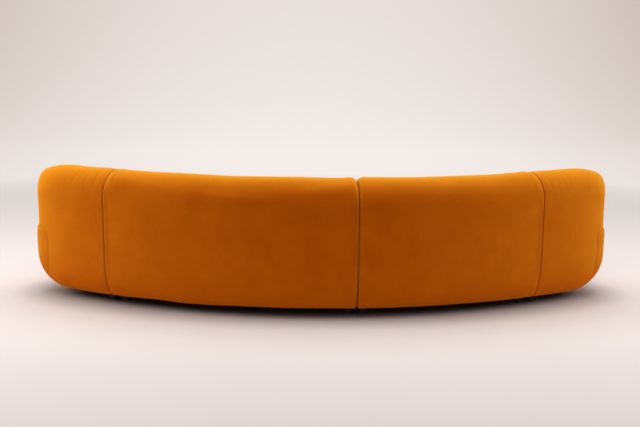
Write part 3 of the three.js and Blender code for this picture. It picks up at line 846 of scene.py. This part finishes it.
def frame_room(name):
    """Ends along the row, then the seat deck and the back frame as ranges of n and z"""
    start, finish, start_edge, finish_edge, side = module_span(name)
    tip, joint = ROOM_FROM_TIP, ROOM_FROM_JOINT
    from_s = start + tip if side < 0 else start + start_edge[0] / 2 + joint
    to_s = finish - tip if side > 0 else finish - finish_edge[0] / 2 - joint
    board, base, back, straps = (
        row_coordinates(coordinates(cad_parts[f"{name}_{part}"].data))
        for part in ("back_board", "base_frame", "back_frame", "webbing"))
    rear = board[1].max() + FRAME_GAP
    deck = (base[1].min() - FRAME_GAP, rear), (ROOM_FOOT, straps[2].max() + STRAP_GAP)
    upright = (back[1].min() - FRAME_GAP, rear), (ROOM_FOOT, back[2].max() + FRAME_GAP)
    return (from_s, to_s), deck, upright


def cover_pad(mesh, ends, zones):
    """Velvet outside, and cut foam on the faces that line the frame's room"""
    mesh.materials.clear()
    mesh.materials.append(finish_of(pile_velvet))
    mesh.materials.append(finish_of(cut_foam))
    mesh.polygons.foreach_set("use_smooth", [True] * len(mesh.polygons))
    mesh.set_sharp_from_angle(angle=SHARP_ANGLE)
    s, n, z = row_coordinates(vectors(mesh.polygons, "center"))
    inside = np.zeros(len(s), bool)
    for n_range, z_range in zones:
        deep = (n > n_range[0] - TOUCH) & (n < n_range[1] + TOUCH)
        inside |= deep & (z > z_range[0]) & (z < z_range[1] + TOUCH)
    inside &= (s > ends[0] - TOUCH) & (s < ends[1] + TOUCH)
    mesh.polygons.foreach_set("material_index", inside.astype(np.int32))
    mesh.update()


# Materials: each maker below is handed its nodes and the place on the object


class Nodes:
    """Short names for adding and joining shader nodes"""

    def __init__(self, owner):
        owner.use_nodes = True
        self.tree = owner.node_tree
        self.tree.nodes.clear()

    def feed(self, socket, value):
        """Joins another node's socket, or sets a number or a colour"""
        if isinstance(value, bpy.types.NodeSocket):
            self.tree.links.new(value, socket)
        elif socket.type == "RGBA":
            socket.default_value = (*value[:3], 1.0)
        else:
            socket.default_value = value

    def add(self, kind, **values):
        """A node with its settings, and with its sockets fed by name"""
        node = self.tree.nodes.new(kind)
        for key, value in values.items():
            if hasattr(node, key):
                setattr(node, key, value)
            else:
                self.feed(node.inputs[key.replace("_", " ")], value)
        return node

    def noise(self, where, scale, detail=3.0, roughness=0.55, stretch=None):
        if stretch is not None:
            where = self.add("ShaderNodeMapping", Vector=where, Scale=stretch).outputs["Vector"]
        node = self.add("ShaderNodeTexNoise", Vector=where, Scale=scale, Detail=detail,
                        Roughness=roughness)
        return node.outputs["Fac"]

    def range(self, value, low, high, to_low=0.0, to_high=1.0):
        node = self.add("ShaderNodeMapRange", Value=value, From_Min=low, From_Max=high,
                        To_Min=to_low, To_Max=to_high)
        return node.outputs["Result"]

    def blend(self, share, first, second, mode="MIX"):
        node = self.add("ShaderNodeMix", data_type="RGBA", blend_type=mode)
        colours = [socket for socket in node.inputs if socket.type == "RGBA"]
        for socket, value in zip((node.inputs[0], *colours), (share, first, second)):
            self.feed(socket, value)
        return next(socket for socket in node.outputs if socket.type == "RGBA")

    def darken(self, colour, share):
        """The colour times a number"""
        grey = self.add("ShaderNodeCombineColor")
        for socket in grey.inputs:
            self.feed(socket, share)
        return self.blend(1.0, colour, grey.outputs["Color"], "MULTIPLY")

    def bump(self, height, distance, strength, **normal):
        node = self.add("ShaderNodeBump", Height=height, Distance=distance, Strength=strength,
                        **normal)
        return node.outputs["Normal"]

    def maths(self, operation, first, second):
        node = self.add("ShaderNodeMath", operation=operation)
        self.feed(node.inputs[0], first)
        self.feed(node.inputs[1], second)
        return node.outputs["Value"]

    def seen_background(self):
        """1 where the camera sees the surface, also in a gloss or through glass"""
        path = self.add("ShaderNodeLightPath").outputs
        seen = self.maths("ADD", path["Is Camera Ray"], path["Is Glossy Ray"])
        seen = self.maths("ADD", seen, path["Is Transmission Ray"])
        return self.maths("MINIMUM", seen, 1.0)

    def either(self, share, first, second):
        """One shader or the other"""
        node = self.add("ShaderNodeMixShader")
        for socket, value in zip(node.inputs, (share, first, second)):
            self.feed(socket, value)
        return node.outputs["Shader"]

    def surface(self, **values):
        shader = self.add("ShaderNodeBsdfPrincipled", **values)
        self.add("ShaderNodeOutputMaterial", Surface=shader.outputs["BSDF"])


def finish_of(maker):
    """The material that a maker makes, made once and named after it"""
    made = bpy.data.materials.get(maker.__name__)
    if made is None:
        made = bpy.data.materials.new(maker.__name__)
        n = Nodes(made)
        maker(n, n.add("ShaderNodeTexCoord").outputs["Object"])
    return made


def pile_velvet(n, where):
    colours = bpy.context.scene.sofa_colours
    brushed = n.noise(where, 8.0, 4.0, 0.6)
    mottle = n.noise(where, 46.0, 5.0, 0.65)
    pile = n.noise(where, 900.0, 2.0, 0.6)
    share = n.maths("ADD", n.range(brushed, 0.3, 0.72), n.range(mottle, 0.3, 0.7, -0.2, 0.2))
    tone = n.blend(share, colours.velvet, colours.velvet_light)
    # Painted highlight: where the surface faces up and is seen at a slant, the colour is blended
    # towards a pale sheen colour, standing in for light from above
    facing = n.add("ShaderNodeLayerWeight", Blend=0.5).outputs["Facing"]
    normal = n.add("ShaderNodeTexCoord").outputs["Normal"]
    direction = n.add("ShaderNodeSeparateXYZ", Vector=normal)
    top_light_share = n.range(direction.outputs["Z"], -0.3, 0.12, 0.2, 1.0)
    tone = n.blend(n.maths("MULTIPLY", n.range(facing, 0.03, 1.0), top_light_share), tone, colours.painted_top_sheen)
    tone = n.darken(tone, n.range(pile, 0.3, 0.7, 0.86, 1.1))
    bump = n.bump(mottle, 0.0016, 0.35, Normal=n.bump(pile, 0.0006, 0.5))
    n.surface(Base_Color=tone, Roughness=n.range(mottle, 0.3, 0.7, 0.78, 0.92), Normal=bump,
              Specular_IOR_Level=0.04, Sheen_Weight=0.2, Sheen_Roughness=0.2,
              Sheen_Tint=colours.sheen)


def cut_foam(n, where):
    cells = n.noise(where, 420.0, 3.0, 0.7)
    tone = n.blend(n.range(n.noise(where, 5.0), 0.35, 0.65), *FOAM_TONES)
    n.surface(Base_Color=tone, Roughness=0.95, Normal=n.bump(cells, 0.001, 0.8))


def sawn_timber(n, where):
    rings = n.noise(where, 14.0, 5.0, 0.6, (0.25, 1.6, 2.4))
    fine = n.noise(where, 160.0, 3.0, 0.6, (0.05, 1.0, 1.0))
    tone = n.blend(n.range(rings, 0.3, 0.7), *TIMBER_TONES)
    tone = n.blend(n.range(fine, 0.52, 0.7, 0.0, 0.35), tone, TIMBER_PORE)
    n.surface(Base_Color=tone, Roughness=n.range(fine, 0.3, 0.7, 0.55, 0.75),
              Normal=n.bump(fine, 0.0008, 0.4))


def fibre_board(n, where):
    fibre = n.noise(where, 260.0, 4.0, 0.7)
    tone = n.blend(n.range(fibre, 0.3, 0.7), *BOARD_TONES)
    n.surface(Base_Color=tone, Roughness=0.7, Normal=n.bump(fibre, 0.0005, 0.5))


def woven_webbing(n, where):
    weave = n.add("ShaderNodeTexWave", wave_type="BANDS", bands_direction="DIAGONAL",
                  Vector=where, Scale=170.0, Distortion=0.4).outputs["Fac"]
    tone = n.blend(weave, *WEBBING_TONES)
    n.surface(Base_Color=tone, Roughness=n.range(n.noise(where, 300.0), 0.3, 0.7, 0.75, 0.95),
              Normal=n.bump(weave, 0.0008, 0.6))


def spun_dust_cloth(n, where):
    dots = n.add("ShaderNodeTexVoronoi", Vector=where, Scale=420.0, Randomness=0.25)
    spot = n.range(dots.outputs["Distance"], 0.1, 0.45)
    tone = n.blend(spot, *DUST_CLOTH_TONES)
    n.surface(Base_Color=tone, Roughness=0.92, Normal=n.bump(spot, 0.0006, 0.6))


def stained_wood(n, where):
    grain = n.noise(where, 90.0, 4.0, 0.6, (1.0, 1.0, 0.12))
    pores = n.noise(where, 500.0, 2.0, 0.5, (1.0, 1.0, 0.08))
    tone = n.blend(n.range(grain, 0.35, 0.65), *STAIN_TONES)
    scuff = n.range(n.noise(where, 25.0, 5.0, 0.7), 0.62, 0.75, 0.0, 0.5)
    tone = n.blend(scuff, tone, STAIN_SCUFF)
    n.surface(Base_Color=tone, Roughness=n.range(grain, 0.3, 0.7, 0.38, 0.55),
              Normal=n.bump(pores, 0.0004, 0.4), Specular_IOR_Level=0.25)


def brushed_steel(n, where):
    brush = n.noise(where, 700.0, 2.0, 0.6, (0.04, 1.0, 1.0))
    stain = n.noise(where, 30.0, 4.0, 0.6)
    tone = n.blend(n.range(stain, 0.35, 0.7), *STEEL_TONES)
    n.surface(Base_Color=tone, Metallic=1.0, Roughness=n.range(brush, 0.3, 0.7, 0.28, 0.46),
              Normal=n.bump(brush, 0.0002, 0.3))


def studio_paper(n, where):
    """Pale paper: a painted contact shadow close under the sofa, a glow far from it with painted
    shade towards the corners, clear from behind
    """
    colours = bpy.context.scene.sofa_colours
    seen = n.seen_background()
    axes = n.add("ShaderNodeSeparateXYZ", Vector=where).outputs
    x_squared = n.maths("POWER", axes["X"], 2.0)
    away = n.maths("ADD", x_squared, n.maths("POWER", axes["Y"], 2.0))
    grain = n.range(n.noise(where, 0.8), 0.3, 0.7)
    paper = n.blend(grain, tuple(c * 0.985 for c in colours.floor), colours.floor)
    # Painted contact shadow: where ambient occlusion finds the sofa close, the paper is darkened
    # for the camera
    close = n.add("ShaderNodeAmbientOcclusion", samples=8, Distance=0.22).outputs["AO"]
    painted_contact_shade = n.maths("SUBTRACT", 1.0, n.maths("POWER", close, 0.85))
    paper = n.darken(paper, n.maths("SUBTRACT", 1.0, n.maths("MULTIPLY", painted_contact_shade, seen)))
    lit = n.add("ShaderNodeBsdfPrincipled", Base_Color=paper, Roughness=0.9,
                Specular_IOR_Level=0.1).outputs["BSDF"]
    # Painted shade: the glow darkens towards the sides and the top, like light falling off
    aside = n.maths("MULTIPLY", n.range(x_squared, 0.0, 36.0),
                    n.range(x_squared, 49.0, 180.0, 1.0, 0.0))
    high = n.maths("MULTIPLY", n.range(n.maths("ADD", axes["Y"], axes["Z"]), 6.0, 10.5),
                   n.range(axes["Z"], 2.5, 6.0, 1.0, 0.0))
    edge = n.maths("ADD", n.maths("MULTIPLY", aside, 0.95), n.maths("MULTIPLY", high, 0.3))
    glow = n.blend(edge, colours.backdrop, colours.backdrop_painted_shade)
    glare = n.add("ShaderNodeEmission", Color=glow).outputs["Emission"]
    far = n.maths("MAXIMUM", n.range(axes["Y"], 1.2, 4.2), n.range(away, 6.5, 22.0))
    front = n.either(n.maths("MULTIPLY", seen, far), lit, glare)
    behind = n.maths("MULTIPLY", seen, n.add("ShaderNodeNewGeometry").outputs["Backfacing"])
    clear = n.add("ShaderNodeBsdfTransparent").outputs["BSDF"]
    n.add("ShaderNodeOutputMaterial", Surface=n.either(behind, front, clear))


# Studio


def studio_sweep():
    """The floor, which bends up far behind the row into a wall"""
    front, middle, back, turn, top, half = -14.0, -6.0, 6.5, 2.5, 7.0, 16.0
    line = [(front, 0.0), (middle, 0.0), (back, 0.0)]
    line += [(back + turn * math.sin(angle), turn - turn * math.cos(angle))
             for angle in np.linspace(0.1, QUARTER, 15)]
    line.append((back + turn, top))
    points = [(x, y, z) for y, z in line for x in (-half, half)]
    faces = [(2 * i, 2 * i + 1, 2 * i + 3, 2 * i + 2) for i in range(len(line) - 1)]
    mesh = bpy.data.meshes.new("studio_sweep")
    mesh.from_pydata(points, [], faces)
    mesh.polygons.foreach_set("use_smooth", [True] * len(faces))
    mesh.materials.append(finish_of(studio_paper))
    new_object("studio_sweep", mesh)


def studio_lamps():
    for name, size, power, location, target in LAMPS:
        data = bpy.data.lights.new(name, "AREA")
        data.shape, data.energy = "RECTANGLE", power
        data.size, data.size_y = size
        light = new_object(name, data)
        light.location = location
        light.rotation_mode = "QUATERNION"
        aim = Vector(target) - Vector(location)
        light.rotation_quaternion = aim.to_track_quat("-Z", "Y")


def studio_world():
    """Soft light all round, which the camera sees as the pale backdrop"""
    world = bpy.data.worlds.new("studio")
    bpy.context.scene.world = world
    n = Nodes(world)
    soft = n.add("ShaderNodeBackground", Color=SOFT_LIGHT, Strength=SOFT_STRENGTH)
    pale = n.add("ShaderNodeBackground", Color=bpy.context.scene.sofa_colours.backdrop)
    light = n.either(n.seen_background(), *(b.outputs["Background"] for b in (soft, pale)))
    n.add("ShaderNodeOutputWorld", Surface=light)


# Operators


class SOFA_OT_camera(bpy.types.Operator):
    """Places the camera behind the row, a little above the backs"""

    bl_idname = "sofa.camera"
    bl_label = "Camera"

    def execute(self, context):
        data = bpy.data.cameras.new("photo_camera")
        data.sensor_fit, data.sensor_width, data.lens = "HORIZONTAL", SENSOR_WIDTH, CAMERA_LENS
        data.clip_start, data.clip_end = 0.1, 60.0
        camera = new_object("photo_camera", data)
        yaw, pitch, roll = (math.radians(angle) for angle in CAMERA_TURN)
        ahead = Vector((math.sin(yaw) * math.cos(pitch), math.cos(yaw) * math.cos(pitch),
                        -math.sin(pitch)))
        level = Vector((math.cos(yaw), -math.sin(yaw), 0))
        above = level.cross(ahead)
        right = math.cos(roll) * level + math.sin(roll) * above
        up = math.cos(roll) * above - math.sin(roll) * level
        x, y, z = CAMERA_PLACE
        turn = Matrix((right, up, -ahead)).transposed().to_4x4()
        camera.matrix_world = Matrix.Translation((x, y + REARMOST, z)) @ turn
        context.scene.camera = camera
        return {"FINISHED"}


class SOFA_OT_backs(bpy.types.Operator):
    """Makes the upholstered back of each module"""

    bl_idname = "sofa.backs"
    bl_label = "Backs"

    def execute(self, context):
        joint, height = context.scene.sofa_row.end_joint, context.scene.sofa_back.height
        # Where each pleat lies along the outer face, and how it leans
        pleats = {
            "left_end": ((-joint - 0.06, 0.01), (-joint - 0.125, -0.008), (-joint - 0.2, 0.012)),
            "left_centre": ((-joint + 0.05, -0.01),),
            "right_centre": ((joint - 0.055, 0.01),),
            "right_end": ((joint + 0.05, -0.01), (joint + 0.11, 0.01), (joint + 0.19, -0.01)),
        }
        pieces = filled_pads("back", back_outline, back_end_rings, held_places)
        for number, (name, piece) in enumerate(zip(MODULES, pieces)):
            refine(piece)
            make_uneven(name, piece.data, BACK_SEED + number)
            ease_corner(piece.data)
            pleat(piece.data, pleats[name])
            sew_seam(name, piece.data, height - BACK_SEAM_DROP, BACK_SEAM_DEPTHS)
            ends, deck, upright = frame_room(name)
            for zone in (deck, upright):
                cut(piece, rounded_bar(ends, *zone))
            keep_largest_body(piece.data)
            cover_pad(piece.data, ends, (deck, upright))
            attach(piece, name)
            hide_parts(name + "_back_cover", name + "_back_foam")
        return {"FINISHED"}


class SOFA_OT_seats(bpy.types.Operator):
    """Makes the upholstered seat of each module and fits it round the back"""

    bl_idname = "sofa.seats"
    bl_label = "Seats"

    def execute(self, context):
        edge = context.scene.sofa_seat.edge_height
        pieces = filled_pads("seat", seat_outline, seat_end_rings, held_seat_places)
        for number, (name, piece) in enumerate(zip(MODULES, pieces)):
            back = bpy.data.objects.get(name + "_back_upholstery")
            if back is None:
                raise RuntimeError("make the backs before the seats")
            refine(piece)
            make_uneven(name, piece.data, SEAT_SEED + number)
            sew_seam(name, piece.data, edge - SEAT_SEAM_DROP, SEAT_SEAM_DEPTHS)
            ends, deck, _ = frame_room(name)
            cut(piece, rounded_bar(ends, *deck))
            cut(piece, back_former(back))
            keep_largest_body(piece.data)
            cover_pad(piece.data, ends, (deck,))
            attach(piece, name)
            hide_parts(name + "_seat_cover", name + "_seat_foam")
        return {"FINISHED"}


def back_former(back):
    """A copy of the finished back, a contact gap larger all round, to shape the seat against"""
    mesh = back.data.copy()
    gap = bpy.context.scene.sofa_padding.contact_gap
    set_coordinates(mesh, coordinates(mesh) + normals(mesh) * gap)
    return new_object("former", mesh)


class SOFA_OT_frame(bpy.types.Operator):
    """Finishes the timber, boards, webbing, dust covers, feet and clips of the packed model"""

    bl_idname = "sofa.frame"
    bl_label = "Frame and feet"

    def execute(self, context):
        finishes = {
            "_base_frame": sawn_timber, "_back_frame": sawn_timber, "_back_board": fibre_board,
            "_webbing": woven_webbing, "_dust_cover": spun_dust_cloth, "_foot_": stained_wood,
            "_bar": brushed_steel,
        }
        for name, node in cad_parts.items():
            maker = next((finishes[part] for part in finishes if part in name), None)
            if maker:
                node.data.materials.clear()
                node.data.materials.append(finish_of(maker))
        return {"FINISHED"}


class SOFA_OT_studio(bpy.types.Operator):
    """Sets up the pale floor and backdrop and the soft lights"""

    bl_idname = "sofa.studio"
    bl_label = "Studio"

    def execute(self, context):
        studio_sweep()
        studio_lamps()
        studio_world()
        context.scene.view_settings.view_transform = "Standard"
        return {"FINISHED"}


class SOFA_PT_parts(bpy.types.Panel):
    """Lists the steps that make the sofa and its studio"""

    bl_idname = "SOFA_PT_parts"
    bl_label = "Curved sofa"
    bl_space_type = "VIEW_3D"
    bl_region_type = "UI"
    bl_category = "Sofa"

    def draw(self, context):
        for step in STEPS:
            self.layout.operator(step.bl_idname)
        for group in GROUPS:
            settings = getattr(context.scene, group)
            box = self.layout.box()
            box.label(text=type(settings).__doc__)
            for name in settings.__annotations__:
                box.prop(settings, name)


STEPS = (SOFA_OT_camera, SOFA_OT_backs, SOFA_OT_seats, SOFA_OT_frame, SOFA_OT_studio)
GROUPS = {
    "sofa_row": SofaRow, "sofa_back": SofaBack, "sofa_seat": SofaSeat,
    "sofa_padding": SofaPadding, "sofa_colours": SofaColours,
}


def register():
    for kind in (*GROUPS.values(), *STEPS, SOFA_PT_parts):
        bpy.utils.register_class(kind)
    for name, kind in GROUPS.items():
        setattr(bpy.types.Scene, name, PointerProperty(type=kind))


def unregister():
    for name in GROUPS:
        delattr(bpy.types.Scene, name)
    for kind in reversed((*GROUPS.values(), *STEPS, SOFA_PT_parts)):
        bpy.utils.unregister_class(kind)


def main():
    register()
    for step in STEPS:
        area, action = step.bl_idname.split(".")
        getattr(getattr(bpy.ops, area), action)()


if __name__ == "__main__":
    main()
